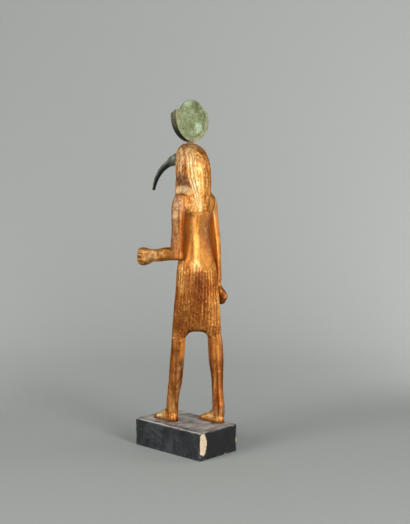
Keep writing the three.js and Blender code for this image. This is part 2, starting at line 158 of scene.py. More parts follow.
def panel(name, place, target, size, watts):
    light = bpy.data.lights.new(name, "AREA")
    light.shape = "RECTANGLE"
    light.size, light.size_y = size
    light.energy = watts
    made = bpy.data.objects.new(name, light)
    made.location = place
    made.rotation_euler = (Vector(target) - Vector(place)).to_track_quat("-Z", "Y").to_euler()
    bpy.context.scene.collection.objects.link(made)
    print(name, "light,", watts, "W")


MIDDLE = (0, 0, 0.2)  # about the kilt
panel("key", around(37, 12, 1.5), MIDDLE, (0.42, 0.8), 17)
panel("side", around(96, 8, 1.7), MIDDLE, (0.9, 1.2), 9)
panel("fill", around(-52, 16, 1.6), MIDDLE, (0.8, 1.0), 20)
panel("top", around(10, 80, 1.6), MIDDLE, (1.4, 1.4), 4)
panel("paper_light", around(112, 0, 0.81, 0.35), (-1.25, -0.57, 0.4), (0.6, 0.7), 5)
panel("paper_light_left", around(-112, 0, 0.81, 0.15), (-0.494, -1.224, -0.15), (0.6, 0.4), 3)
world = bpy.data.worlds.new("studio")
world.use_nodes = True
plug(world.node_tree.nodes["Background"], {"Color": tint("#E2E0DC"), "Strength": 0.25})
bpy.context.scene.world = world
bpy.context.scene.view_settings.view_transform = "Standard"  # keeps colours as they were picked

# %% [markdown]
# The wooden figure comes first. Its finish is easier to judge in millimetres, because leaf and paint are
# thin. It was drawn about its own upright axis with its soles at zero, so these two functions turn scene
# metres into those carving millimetres and back.

# %% Units
MM = 0.001
AXIS_X = -6.3  # where the figure's upright axis stands on the plinth, mm
SOLES_Z = 30.0  # the plinth's height, mm
axis = np.array([AXIS_X, 0.0, SOLES_Z])


def to_carving(points):
    """Scene metres to millimetres from the figure's axis and soles."""
    return points / MM - axis


def to_scene(points):
    return (points + axis) * MM


print("the figure's axis on the plinth:", axis, "mm")

# %% [markdown]
# The CAD solids are faceted and light. They could be sculpted by hand, but a modifier gives the same result
# each run. Each copy is rebuilt from small even cubes, which also melts the limbs into one skin, as in a
# figure carved from one block. The modifier is applied at once, so the next step can read the new vertices.


# %% Even skin
def apply_modifier(ob, kind, **settings):
    modifier = ob.modifiers.new(kind, kind)
    for name, value in settings.items():
        setattr(modifier, name, value)
    graph = bpy.context.evaluated_depsgraph_get()
    mesh = bpy.data.meshes.new_from_object(ob.evaluated_get(graph))
    ob.modifiers.clear()
    old = ob.data
    ob.data = mesh
    bpy.data.meshes.remove(old)


def even_skin(node, name, cube_mm):
    """A copy of a CAD node, rebuilt from even cubes. The CAD object itself stays as it is."""
    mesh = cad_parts[node].data.copy()
    mesh.materials.clear()
    made = bpy.data.objects.new(name, mesh)
    bpy.context.scene.collection.objects.link(made)
    apply_modifier(made, "REMESH", mode="VOXEL", voxel_size=cube_mm * MM)
    print(name, "has", len(made.data.vertices), "vertices")
    return made


figure = even_skin("gilded_figure", "gilded_figure_carved", 0.48)

# %% [markdown]
# The new skin has hundreds of thousands of vertices. A loop in Python would crawl over them, so they are
# read and written as one array. The step function fades one treatment into the next between two measures.


# %% Points and steps
def vertex_values(ob, kind):
    """Every vertex's place (co) or its direction outwards (normal), a row each."""
    values = np.zeros(len(ob.data.vertices) * 3, np.float32)
    ob.data.vertices.foreach_get(kind, values)
    return values.reshape(-1, 3).astype(float)


def move_points(ob, points):
    ob.data.vertices.foreach_set("co", points.astype(np.float32).ravel())
    ob.data.update()


def step(values, low, high):
    """0 below low and 1 above high, with an even curve between. High may be the smaller one."""
    t = np.clip((values - low) / (high - low), 0, 1)
    return t * t * (3 - 2 * t)


at = to_carving(vertex_values(figure, "co"))
print("the figure's crown is", round(float(at[:, 2].max()), 1), "mm above its soles")

# %% [markdown]
# The even skin still shows the facets. Smoothing averages them away, as the carver's scraper did. It is held
# back at the soles, so that the feet stand flat on the plinth, and at two crisp edges: the hem above the
# arch between the legs, and the wig's front edge, where the face comes out.

# %% Figure, the skin
FACE_Y = -7.5  # the wig's front edge at the height of the eyes
HEM_Z = 94.5
ARCH_MIDDLE = 8  # across the picture, from the figure's axis
PICTURE_RIGHT = (-0.687, 0.7266)  # the camera's right-hand side on the floor


def brow(heights):
    """How far back the wig's front edge lies. It leans a little."""
    return 0.15 * (heights - 285) + FACE_Y


def soften(ob, rounds, weights=None):
    """Averages each vertex with its neighbours. Weights, one a vertex, hold edges back."""
    settings = {"factor": 0.5, "iterations": rounds}
    if weights is not None:
        group = ob.vertex_groups.new(name="soft")
        for tenth in range(1, 11):
            chosen = np.where(np.round(weights * 10).astype(int) == tenth)[0]
            group.add(chosen.tolist(), tenth / 10, "REPLACE")
        settings["vertex_group"] = "soft"
    apply_modifier(ob, "SMOOTH", **settings)
    ob.vertex_groups.clear()


x, y, z = at.T
across_picture = PICTURE_RIGHT[0] * x + PICTURE_RIGHT[1] * y
in_arch = step(abs(across_picture - ARCH_MIDDLE), 12, 9)
off_hem = np.maximum(step(abs(z - HEM_Z), 0.0, 2.0), 1 - in_arch)
off_brow = step(abs(y - brow(z)), 0.0, 1.2) + (z < 270)
free = np.minimum(off_hem, np.clip(off_brow, 0.3, 1))
soften(figure, 26, step(z, 1.0, 4.0) * (0.25 + 0.75 * free))
print("vertices held back:", int((free < 0.9).sum()))

# %% [markdown]
# Strands and pleats run evenly round a body. To place them, the script knows the outline of the wig, the
# front lappets and the kilt at a few heights, as squared-off ellipses. A texture wrapped round the body could
# give them too, but it would stretch where the body narrows.

# %% Outlines
# Each row is x, y, height, half across, half deep, turn in degrees, squareness.
WIG = np.array([
    (0, 17, 226, 9.2, 6.9, 0, 2.8),
    (0, 16.2, 238, 10, 8, 0, 2.8),
    (0, 14.2, 248, 12.7, 10.4, 0, 2.6),
    (0, 10.3, 257, 15.4, 14.4, 0, 2.5),
    (0, 6.5, 266, 16.6, 18, 0, 2.6),
    (0, 5.2, 279, 16.4, 17.6, 0, 2.6),
    (0, 4, 287, 15.3, 16.3, 0, 2.6),
    (0, 2.4, 291.7, 14.3, 15.3, 0, 2.5),
    (0, 1.4, 296, 12.9, 13.5, 0, 2.3),
    (0, 0.8, 299.2, 9.4, 9.9, 0, 2.1),
    (0, 0.5, 301, 5.4, 5.7, 0, 2),
])
LAPPET = np.array([
    (8.6, 0, 213, 5.4, 3.6, 0, 2.8),
    (8.4, -1.2, 228, 6, 4.6, 0, 2.8),
    (8, -3, 244, 6.6, 5.8, 0, 2.6),
    (7.4, -3.2, 259, 7.4, 6.6, 0, 2.4),
    (6, -0.6, 274, 8, 7.4, 0, 2.3),
])
KILT = np.array([
    (0.2, 10.8, 94, 26.6, 9.4, -43, 3.2),
    (0.1, 10.8, 103, 26.2, 11.2, -43, 3),
    (0, 11, 112, 25.7, 12.6, -40, 2.8),
    (0, 11.3, 129, 24.8, 14.6, -30, 2.6),
    (0, 11.4, 144, 23.6, 15.9, -20, 2.4),
    (0, 11.2, 159, 23.1, 16.5, -10, 2.4),
    (0, 10.9, 169, 22.8, 16.5, 0, 2.4),
    (0, 10.6, 178, 20.9, 15.1, 0, 2.4),
    (0, 10.6, 188, 17.8, 12.9, 0, 2.4),
])
print("outlines:", len(WIG), "heights of the wig,", len(KILT), "of the kilt")

# %% [markdown]
# A carver marks off strands with dividers, in equal steps along the surface. This function does the same: it
# measures each outline's length from the front, so that for any point it tells how far out the point lies
# and what share of the way round it is.

# %% Share of the way round
LEVELS = 40
SIDES = 180


def place_on(points, rings):
    """How far out each point lies, 1 on the outline, and its share of the way round from the front."""
    z = points[:, 2]
    x, y, across, deep, turn, square = (np.interp(z, rings[:, 2], rings[:, k]) for k in (0, 1, 3, 4, 5, 6))
    turn = np.radians(turn)
    from_x, from_y = points[:, 0] - x, points[:, 1] - y
    sideways = from_x * np.cos(turn) + from_y * np.sin(turn)
    forwards = from_y * np.cos(turn) - from_x * np.sin(turn)
    reach = ((abs(sideways) / across) ** square + (abs(forwards) / deep) ** square) ** (1 / square)
    heights = np.linspace(rings[0, 2], rings[-1, 2], LEVELS)
    angles = np.linspace(-math.pi, math.pi, SIDES + 1)
    shares = np.zeros((LEVELS, SIDES + 1))
    for row, height in enumerate(heights):
        across, deep, turn, square = (np.interp(height, rings[:, 2], rings[:, k]) for k in (3, 4, 5, 6))
        lean = angles + math.pi / 2 - math.radians(turn)
        bulge = (abs(np.cos(lean)) / across) ** square + (abs(np.sin(lean)) / deep) ** square
        radius = bulge ** (-1 / square)
        line = np.stack([radius * np.cos(angles), radius * np.sin(angles)], 1)
        run = np.concatenate([[0], np.cumsum(np.linalg.norm(np.diff(line, axis=0), axis=1))])
        shares[row] = run / run[-1]
    # Each point's share is read from that table, between its four nearest entries.
    bearing = np.mod(np.arctan2(from_y, from_x) + 1.5 * math.pi, 2 * math.pi) / (2 * math.pi) * SIDES
    level = np.clip((z - heights[0]) / (heights[-1] - heights[0]), 0, 1) * (LEVELS - 1.001)
    row, column = np.floor(level).astype(int), np.clip(np.floor(bearing).astype(int), 0, SIDES - 1)
    part_up, part_on = level - row, bearing - column
    low = shares[row, column] * (1 - part_on) + shares[row, column + 1] * part_on
    high = shares[row + 1, column] * (1 - part_on) + shares[row + 1, column + 1] * part_on
    return reach, low * (1 - part_up) + high * part_up


at = to_carving(vertex_values(figure, "co"))
normal = vertex_values(figure, "normal")
x, y, z = at.T
wig_reach, wig_share = place_on(at, WIG)
print("vertices on the wig's outline:", int((abs(wig_reach - 1) < 0.05).sum()))

# %% [markdown]
# Hand work is never quite even. A noise texture on a Displace modifier could give that, but a drift in an
# array can also bend a strand or break up a pleat. Each has its own seed, so every run gives the same wood.


# %% Unevenness
def drift(points, size, seed):
    """Smooth unevenness from -1 to 1. Its humps are about `size` millimetres apart."""
    grid = np.random.default_rng(seed).uniform(-1, 1, (32, 32, 32))
    cell = points / size
    base = np.floor(cell).astype(int)
    part = cell - base
    part = part * part * (3 - 2 * part)
    total = np.zeros(len(points))
    for corner in itertools.product((0, 1), repeat=3):
        weight = np.prod(np.where(np.array(corner) == 1, part, 1 - part), axis=1)
        i, j, k = ((base + np.array(corner)) % 32).T
        total += weight * grid[i, j, k]
    return total


def flecks(points, size, seed, low, high, upright=1.0):
    """Ragged patches, 1 inside and 0 outside. An upright value under 1 draws them out up and down."""
    return step(drift(points * [1, 1, upright], size, seed), low, high)


def groove(share, count, sharp=0.45):
    """0 on a rib's back to 1 in the groove between two ribs, for `count` ribs a turn."""
    return 1 - np.abs(np.sin(math.pi * share * count)) ** sharp


print("drift at the first vertex:", round(float(drift(at[:1], 9, 1)[0]), 2))

# %% [markdown]
# The wig is a heavy striped headcloth of hair. Its strands run down from the crown into the lappet on the
# back. Each groove has its own depth and wanders a little, and some strands are worn nearly flat. The cuts
# are real relief, because the light that rakes over them is most of what the eye sees of the wig.

# %% Figure, wig strands
STRANDS = 30
# The grooves that the photograph shows, by number round from the front. The others have a random depth.
SEEN_DEPTHS = {0: 0.65, 1: 0.65, 2: 0.65, 22: 0.6, 23: 0.75, 24: 0.5, 25: 1.0, 26: 1.0, 27: 0.35, 28: 0.45}
SEEN_DEPTHS[29] = 0.6

on_wig = step(wig_reach, 1.10, 1.05) * step(z, 229.5, 231.5) * step(z, 300.5, 298)
on_wig *= step(y - brow(z), -0.4, 0.6)
strand_share = wig_share - 0.008 + 0.004 * drift(at * [1, 1, 0.35], 9, 1) + 0.003 * drift(at, 3.5, 2)
depths = np.random.default_rng(3).uniform(0.5, 0.8, STRANDS)
for strand, depth in SEEN_DEPTHS.items():
    depths[strand] = depth
own_depth = depths[np.floor(np.mod(strand_share, 1) * STRANDS + 0.5).astype(int) % STRANDS]
unworn = 0.5 + 0.5 * np.maximum(flecks(at, 11, 4, -0.55, 0.2, 0.5), own_depth > 0.7)
pecked = 0.5 + 0.5 * flecks(at, 1.7, 15, -0.5, 0.3, 0.6)
deep = (own_depth > 0.9) * step(z, 292, 287)
wig_cut = on_wig * groove(strand_share, STRANDS, 0.8) * own_depth * unworn * np.maximum(pecked, deep)
wig_cut *= 1 - 0.75 * step(z, 252, 240)  # the strands fade towards the lappet's end
print("vertices on the wig:", int((on_wig > 0.5).sum()))

# %% [markdown]
# One lock on the back of the cap starts under the crown with a rounded top. It is two nested arches, drawn
# from the distance to the lock's own middle. The two lappets that fall on the chest have finer strands of
# their own, cut in the same way.

# %% Figure, lock and lappets
LOCK_SHARE, LOCK_HALF = 0.935, 0.052  # its middle and half width, as shares of the way round
LOCK_SPRING, LOCK_RISE = 276, 14  # the height where its arch starts, and the arch's own height
LAPPET_STRANDS = 15

turned = np.where(wig_share < 0.5, wig_share + 1, wig_share)  # runs on past the back
lock_side = (turned - LOCK_SHARE) / LOCK_HALF
lock = np.hypot(lock_side, (np.maximum(z, LOCK_SPRING) - LOCK_SPRING) / LOCK_RISE)
in_lock = step(z, 274, 280) * step(abs(lock_side), 1.3, 1.1) * step(lock, 1.3, 1.15) * on_wig
outer_arch = np.clip(1 - abs(lock - 1) / 0.16, 0, 1)
inner_arch = np.clip(1 - abs(lock - 0.66) / 0.14, 0, 1)
wig_cut = wig_cut * (1 - in_lock) + 0.8 * in_lock * np.maximum(outer_arch, 0.5 * inner_arch) * pecked

lappet_cut, on_lappet = np.zeros((2, len(at)))
for side in (1, -1):
    reach, share = place_on(at, LAPPET * [side, 1, 1, 1, 1, 1, 1])
    here = step(reach, 1.14, 1.06) * step(z, 214.5, 216.5) * step(y, 1.5, -0.5) * (wig_reach > 1.05)
    on_lappet = np.maximum(on_lappet, here)
    lappet_cut = np.maximum(lappet_cut, here * groove(share, LAPPET_STRANDS))
print("vertices on the lappets:", int((on_lappet > 0.5).sum()))

# %% [markdown]
# The kilt is finely pleated from the hips to the hem. The pleats are about four millimetres wide and were
# pressed into the gesso, so they are shallow and break up into dots where the leaf has worn.

# %% Figure, kilt pleats
PLEATS = 34
KILT_TOP = 176

kilt_reach, kilt_share = place_on(at, KILT)
back_droop = 10 * step(y, 8, 24) * step(abs(x - 2), 16, 2)
kilt_top = KILT_TOP - back_droop + 1.2 * drift(at, 9, 5)
on_kilt = step(kilt_reach, 1.12, 1.06) * step(z, 77, 94) * step(z, kilt_top + 2.5, kilt_top - 1.5)
pleat = groove(kilt_share + 0.0016 * drift(at * [1, 1, 0.2], 6, 6), PLEATS, 1.0)
pleat_cut = on_kilt * pleat * (0.72 + 0.28 * flecks(at, 1.9, 7, -0.5, 0.35, 0.7))
print("vertices on the kilt:", int((on_kilt > 0.5).sum()))

# %% [markdown]
# Fingers and toes are single cuts. The left hand is upright and closed, so its fingers lie one above the
# other. The right one hangs, so they lie one behind the other. Each foot has a broad inner toe and four
# narrow ones.

# %% Figure, fingers and toes
FINGER_HALF, TOE_HALF = 0.9, 0.75  # half the width of a cut
TOE_EDGES = (3.7, 5.7, 7.5, 9.1)  # each cut's distance from the foot's inner edge
FEET = [(10.4, 1, -36.7), (-8.2, -1, 4.3)]  # inner edge, outward side and tip: left foot, right foot


def cut(values, middle, half_width):
    """A V-shaped cut across a measure, 1 in its middle."""
    return np.clip(1 - abs(values - middle) / half_width, 0, 1)


digit_cut = np.zeros(len(at))
left_fist = step(y, -40.5, -42.5) * step(x, 16, 18)
for between in (173.4, 177.9, 182.4):
    digit_cut = np.maximum(digit_cut, left_fist * cut(z, between - 0.06 * (y + 44), FINGER_HALF))
right_fist = step(z, 139.5, 137.5) * step(x, -23, -25)
for between in (12.2, 16.4, 20.6):
    digit_cut = np.maximum(digit_cut, right_fist * cut(y, between, FINGER_HALF))
for inner_edge, outward, tip in FEET:
    for toe, from_inner in enumerate(TOE_EDGES):
        root = tip + 7.6 - 0.4 * toe  # the outer toes are shorter
        here = step(y, root, root - 2) * step(z, 8, 6) * step(z, 0.6, 1.4)
        digit_cut = np.maximum(digit_cut, here * cut(x, inner_edge + outward * from_inner, TOE_HALF))
print("cuts between fingers and toes:", 3 + 3 + len(FEET) * len(TOE_EDGES))

# %% [markdown]
# The eyes are hidden in the photograph. An ibis carved like this has a round eye with a raised rim, so a
# plain one is set on each side of the face.

# %% Figure, eyes
EYE_Y, EYE_Z = -10.4, 287.2
EYE_RIM = 2.2  # the raised rim's radius

eye_raise, eye_ring = np.zeros((2, len(at)))
from_eye = np.hypot(y - EYE_Y, z - EYE_Z)
for side in (1, -1):
    beside = step(x * side, 3, 5)
    eye_raise += beside * (0.45 * cut(from_eye, EYE_RIM, 0.7) + 0.45 * step(from_eye, 1.4, 0.2))
    eye_ring += beside * (cut(from_eye, 1.5, 0.5) + cut(from_eye, 3.0, 0.5))
print("eyes rise", round(float(eye_raise.max()), 2), "mm")

# %% [markdown]
# Some places are shaped by a soft spot, a small ellipsoid that fades out at its radii: the thick crumbled
# gesso on the shoulder, and the hanging hand with its narrow wrist, the thumb's ridge and the hollow of the
# palm. Sculpting would be freer, but a spot has a place that can be read and moved.


# %% Figure, soft spots
def spot(points, centre, radii):
    """1 at a point, fading to 0 at its radii."""
    distance = np.sqrt((((points - np.array(centre)) / np.array(radii)) ** 2).sum(1))
    return step(distance, 1.0, 0.35)


shoulder = spot(at, (11, 16, 238), (15, 16, 17)) * step(z, 223, 227)
wrist = spot(at, (-31, 20, 148), (6, 10, 7))
hand_side = spot(at, (-26, 25, 137), (3.5, 6, 8))
thumb = spot(at, (-29, 24, 139), (3, 6, 4))
palm = spot(at, (-31, 27, 130), (6, 7, 6))
wig_foot = cut(z, 229.4, 1.1) * step(wig_reach, 1.25, 1.08) * step(y, 14, 18)
under_lappet = step(z, 200, 227.5) * step(z, 229, 227.5) * step(abs(x), 11, 8) * step(y, 16, 19)
TO_CAMERA = (0.7266, 0.6871)
# The side that the photograph shows. Its stains aren't repeated on the other one.
photographed = step(TO_CAMERA[0] * normal[:, 0] + TO_CAMERA[1] * normal[:, 1], 0.0, 0.3)
above_leg = photographed * step(z, 74, 92) * step(z, 95, 93.4)
print("vertices on the shoulder's gesso:", int((shoulder > 0.5).sum()))

# %% [markdown]
# Now all cuts are made at once, as one push along the surface. The low wide unevenness is the knife's work
# in the wood. The finest one is the gesso, the chalk ground under the leaf, which gathers and cracks. The
# soles are left alone.

# %% Figure, carving
off_sole = step(z, 1.5, 5)
on_skin = (1 - np.maximum(on_wig, np.maximum(on_kilt, on_lappet))) * off_sole
height = -1.0 * wig_cut - 0.8 * lappet_cut - 0.8 * pleat_cut - 0.65 * digit_cut + eye_raise
height += 0.1 * drift(at, 7.5, 8) * on_skin
height += 0.14 * drift(at, 2.8, 9) * (0.3 + 0.7 * on_wig) * off_sole
height += 0.12 * drift(at, 1.5, 10) * (1 - 0.7 * on_skin) * off_sole
height += 0.15 * off_sole  # the gesso's own thickness
height += 0.3 * shoulder * (1 - on_wig) * drift(at, 1.9, 16)
height -= 0.15 * wig_foot
height += 0.5 * thumb - 0.9 * wrist - 0.8 * hand_side - 1.1 * palm
height += 1.7 * under_lappet  # the gesso fills the step below the back lappet
height += 0.35 * above_leg  # the hem dies away on the legs
move_points(figure, to_scene(at + normal * height[:, None]))
print("deepest cut", round(float(height.min()), 2), "mm")

# %% [markdown]
# The material has to know where the surface is darkened. An ambient occlusion node finds hollows by itself,
# but it knows nothing of stains, so one value for both is written on each vertex. It holds painted shade in
# the cuts, a painted contact shadow at the soles, painted shade under the hem, and stains down the legs. The
# loose spots are placed one by one from the photograph.

# %% Figure, dirt
# Darker spots. Two of them are painted shade: on the wig's side above the shoulder, and beside the hanging
# fist.
DARKER_SPOTS = [  # centre, radii and strength
    ((30.6, 14.6, 214), (2.0, 2.4, 34), 0.6),  # down the back of the left arm
    ((31.5, 8, 221), (4, 9, 2.2), 0.35),  # a crease across that arm
    # painted shade on the wig's left side, where it turns in above the shoulder
    ((16, 3, 262), (7, 14, 9), 0.5),  # the dark patch on the wig
    # painted shade beside the hanging fist, on the side that faces the kilt
    ((-24, 24, 132), (5, 8, 8), 0.6),  # beside the hanging fist
]


def spots(points, rows):
    return sum(strength * spot(points, centre, radii) for centre, radii, strength in rows)


def paint(ob, name, values):
    """Writes one value a vertex, for the material to read."""
    layer = ob.data.attributes.new(name, "FLOAT", "POINT")
    layer.data.foreach_set("value", np.clip(values, 0, 1).astype(np.float32))
    print(ob.name, "has", name, "on", int((values > 0.3).sum()), "vertices")


# Painted shade: the cuts between strands, pleats, fingers and toes, and the foot of the back lappet, are
# darkened as hollows.
grime_and_shade = 0.6 * wig_cut**1.2 + 0.8 * lappet_cut**1.5 + 0.55 * pleat_cut**1.4 + 0.8 * digit_cut + 0.2 * wig_foot
# A painted contact shadow along the soles, painted shade in the rings round the eyes, then the darker spots.
grime_and_shade += 0.8 * step(z, 3.8, 0.8) + 0.6 * eye_ring + spots(at, DARKER_SPOTS)
stained = photographed * step(z, 95, 86) * step(z, 12, 20) * (0.7 + 0.3 * drift(at, 5, 65))
left_stain = cut(across_picture, np.interp(z, [27, 75, 90], [-15.7, -14.1, -13.2]), 1.3)
right_stain = cut(across_picture, np.interp(z, [18, 36, 75, 90], [31.5, 30.9, 29, 27.8]), 1.4)
grime_and_shade += 0.9 * stained * np.maximum(left_stain, right_stain)
# Painted shade on the underside of the hem, over the arch between the legs.
grime_and_shade += 0.9 * in_arch * step(-normal[:, 2], 0.0, 0.15) * step(abs(z - 97), 8, 4)
paint(figure, "grime_and_shade", grime_and_shade)

# %% [markdown]
# Where the leaf is rubbed through, the clay below shows: on the wig's left side, the crown, the shoulder,
# the outside of the arm and in upright streaks on the legs. One pale band crosses the wig's side onto the
# shoulder's top: partly cream gesso and partly a painted highlight where the top catches the light. Hardly
# any clay shows there.

# %% Figure, rubbed leaf
RUBBED = [  # centre, radii and strength
    ((27, 8, 236), (11, 12, 18), 1.0),  # left shoulder
    ((-7, 21, 205), (13, 9, 36), 0.3),  # right half of the back
    ((31, 10, 220), (3, 9, 26), 0.7),  # outside of the upper arm
    ((31, 9, 196), (3, 9, 16), 0.5),  # left elbow
]
elbow = spot(at, (31, 9, 196), (3, 9, 20))
left_forearm = spot(at, (25, -30, 180), (9, 22, 16))
wig_side = on_wig * step(turned, 0.82, 0.79)
on_legs = step(z, 100, 88) * step(z, 6, 12)
ragged = 1.6 * drift(at, 2.8, 19)[:, None]  # gives the patches on the wig a torn edge
# A pale band over the top of the left shoulder: cream gesso and a painted highlight.
cream_band_and_highlight = spot(at + ragged, (17, 5, 251.5), (10, 16, 7)) * (0.75 + 0.25 * drift(at, 1.8, 51))

bare = 1.4 * spot(at + ragged, (16, 2, 262), (9, 16, 11)) + spots(at, RUBBED)
bare += 0.6 * wig_side * flecks(at, 2.6, 14, -0.1, 0.5, 0.3) + 0.5 * step(z, 294, 300)
bare += 0.6 * left_forearm * flecks(at, 2.2, 17, -0.3, 0.2) + 0.25 * elbow * flecks(at, 2.2, 64, 0, 0.4)
bare += 0.2 * flecks(at, 12, 11, 0.1, 0.8)
bare *= 1 - 0.9 * cream_band_and_highlight
bare += 0.5 * on_legs * flecks(at, 2.8, 52, 0.0, 0.5, 0.1)
paint(figure, "bare", bare)

# %% [markdown]
# The leaf isn't one colour. It is paler in one place and browner in the next, so one value from 0 to 1
# says how pale it is. The value also holds painted light. Round the back the wig is painted paler where it
# faces the key light, as a painted highlight, and darker on its left side, as painted shade, as in the
# photograph. The rest is placed by soft spots and long upright drifts, one of them painted shade on the
# back of the left arm.

# %% Figure, tone of the leaf
WIG_ROUND = [0.7, 0.755, 0.77, 0.8, 0.82, 0.86, 0.89, 0.91, 0.96, 1.0, 1.1]  # share of the way round
# Paler as a painted highlight where the wig faces the key light, darker as painted shade on its left side.
WIG_TONES_AND_LIGHT = [0.05, 0.05, -0.14, -0.12, 0.26, 0.36, 0.3, 0.18, 0.1, 0.0, -0.02]
PALER = [  # centre, radii and strength, darker where it is below zero
    # Painted shade on the back of the left arm, beside the gap to the back, damping its reflection.
    ((25.5, 15, 205), (5, 4, 36), -0.25),  # between the left arm and the back
    ((31, 8, 226), (4, 6, 6), 0.35),  # top of the left arm
    ((11, 19, 205), (8, 9, 30), 0.04),  # left half of the back
    ((-8, 20, 205), (12, 9, 30), -0.14),  # right half of the back
    ((13, 23, 171), (8, 9, 9), 0.25),  # below the waist
    ((23, 10, 158), (6, 9, 24), 0.2),  # left hip
    ((-18, 28, 125), (9, 9, 36), 0.25),  # the kilt's right side, at the back
    ((16, -26, 8), (10, 15, 12), 0.45),  # left foot
    ((25, -22, 180), (12, 24, 16), 0.18),  # left forearm
    ((-13, 20, 8), (12, 20, 12), 0.25),  # right foot
    ((-18, 28, 60), (9, 12, 50), -0.08),  # right leg
    ((-22, 23, 146), (4, 7, 12), 0.3),  # right wrist
]
forearm = step(y, -2, -10) * step(z, 190, 186) * step(z, 120, 140)

tone_and_light = 0.42 + 0.10 * drift(at, 15, 12) + spots(at, PALER) + 0.5 * cream_band_and_highlight
tone_and_light += on_wig * (np.interp(turned, WIG_ROUND, WIG_TONES_AND_LIGHT) + 0.14 * drift(at * [1, 1, 0.16], 2.2, 13))
tone_and_light += shoulder * (1 - on_wig) * (0.1 + 0.2 * drift(at, 2.4, 18))
tone_and_light -= 0.12 * step(z, 178, 160) * (y > -20)
tone_and_light += on_kilt * (0.1 * drift(at * [1, 1, 0.1], 2.0, 54) - 0.12 * spot(at, (8, 25, 140), (16, 12, 40)))
tone_and_light += on_legs * (0.2 * drift(at * [1, 1, 0.15], 3.2, 53) - 0.1 * (x < 0)) + 0.04 * step(z, 90, 70)
tone_and_light += 0.3 * forearm * drift(at * [1, 0.6, 1], 2.6, 55)
paint(figure, "tone_and_light", tone_and_light)

# %% [markdown]
# Two more layers finish the skin. A ruddy bloom is where the leaf lets the orange clay through without
# being worn off. In the gaps beside the back, under the left shoulder and between the legs it is also a
# painted reflection: the orange glow that the gold throws on itself there. Gesso is the cream chalk ground,
# seen where leaf and clay have both flaked away in crumbs.

# %% Figure, ruddy bloom and gesso
RUDDY_AND_REFLECTION = [  # centre, radii and strength
    # Painted reflection: the gold's orange glow in the gaps by the arms, with redder leaf.
    ((18, 12, 204), (5.5, 9, 36), 1.0),  # left flank
    ((-20, 12, 196), (7, 10, 44), 1.0),  # right flank
    ((11, 20, 218), (6, 8, 16), 0.4),  # under the left shoulder
    ((13, 5.5, 80), (8, 7, 22), 0.8),  # inside of the left leg, below the hem
    ((-9, 32, 78), (7, 8, 14), 0.5),  # right leg, below the hem
]
FLAKED = [  # centre, radii and strength of an area, then what flecks needs for its crumbs
    ((31, 11, 227), (4, 7, 9), 0.5, (2.4, 57, -0.1, 0.4)),  # left arm
    ((28, 12, 238), (8, 9, 10), 0.45, (1.9, 61, -0.2, 0.4)),  # left shoulder
    ((-13, 22, 10), (12, 20, 16), 0.5, (1.8, 66, 0.0, 0.4)),  # right foot
    ((-21, 17, 232), (7, 8, 16), 0.6, (2.2, 58, -0.1, 0.3, 0.4)),  # right shoulder
    ((24, -22, 186), (10, 20, 7), 0.4, (1.9, 59, 0.1, 0.4)),  # left forearm
]
paint(figure, "ruddy_and_reflection", spots(at, RUDDY_AND_REFLECTION))

gesso = cream_band_and_highlight * flecks(at, 2.2, 56, -0.7, 0.1)
gesso += 0.45 * on_wig * step(turned, 0.8, 0.77) * step(z, 266, 274) * flecks(at, 2.0, 60, 0.0, 0.5, 0.35)
gesso += 0.4 * on_wig * step(z, 291, 297) * flecks(at, 2.0, 62, -0.3, 0.4)
gesso += 0.4 * spot(at, (-22, 23, 144), (4, 7, 11)) + 0.35 * spot(at, (-31, 27, 136), (4, 4, 4))
for centre, radii, strength, crumbs in FLAKED:
    gesso += strength * spot(at, centre, radii) * flecks(at, *crumbs)
paint(figure, "gesso", gesso)

# %% [markdown]
# The last value says how coarse the finish is. The wig, the lappets, the forearm and the thick gesso are
# rough, the pleats half as much, and the back and the other limbs are smoother. Then the mesh, denser than
# the picture needs, is brought down to a size that can be shared. Decimate takes most where it is flat.

# %% Figure, coarseness and size
coarse_places = [
    on_wig,
    on_lappet,
    0.5 * on_kilt,
    0.25 * step(z, 97, 88),  # the legs
    0.3 * step(z, 20, 8),  # the feet
    step(y, -2, -12) * (abs(z - 170) < 40),  # the left forearm
]
coarse = 0.25 + 0.75 * np.maximum.reduce(coarse_places)
coarse *= 1 - 0.5 * on_wig * step(abs(turned - 0.94), 0.05, 0.02)  # the lock is smoother
paint(figure, "coarse", np.maximum(coarse, np.minimum(1.6 * shoulder, 1)))


def thin_out(ob, triangles):
    """Brings a dense mesh down to a number of triangles, fewest where it is flat."""
    count = sum(len(face.vertices) - 2 for face in ob.data.polygons)
    if count > triangles:
        apply_modifier(ob, "DECIMATE", ratio=triangles / count)
    ob.data.shade_smooth()
    print(ob.name, "had", count, "triangles and has", len(ob.data.polygons), "faces")


thin_out(figure, 190000)

# %% [markdown]
# A material here is a small graph of nodes. It can be drawn by hand in the Shader Editor, but a script is
# easier to read again. One function adds a node, sets its settings and inputs, links what comes in and gives
# back what goes out. The others size a pattern, read a coat's share from the vertices and lay coats one over
# another, so each material below reads as a list from the ground to the top coat.

# %% Nodes
PLACE = "ShaderNodeTexCoord"
STRETCH = "ShaderNodeMapping"
NOISE = "ShaderNodeTexNoise"
PAINTED = "ShaderNodeAttribute"
MATH = "ShaderNodeMath"
RANGE = "ShaderNodeMapRange"
RAMP = "ShaderNodeValToRGB"
MIX = "ShaderNodeMix"
BUMP = "ShaderNodeBump"


def add(tree, kind, inputs=None, out=0, stops=(), **settings):
    """Adds a node and gives back one output. A ramp's stops are a position and a hex colour or a grey."""
    node = tree.nodes.new(kind)
    for name, value in settings.items():
        setattr(node, name, value)
    plug(node, inputs or {})
    for i, (position, colour) in enumerate(stops):
        elements = node.color_ramp.elements
        element = elements[i] if i < len(elements) else elements.new(1.0)
        element.position = position
        element.color = tint(colour) if isinstance(colour, str) else (colour,) * 3 + (1.0,)
    return node.outputs[out]


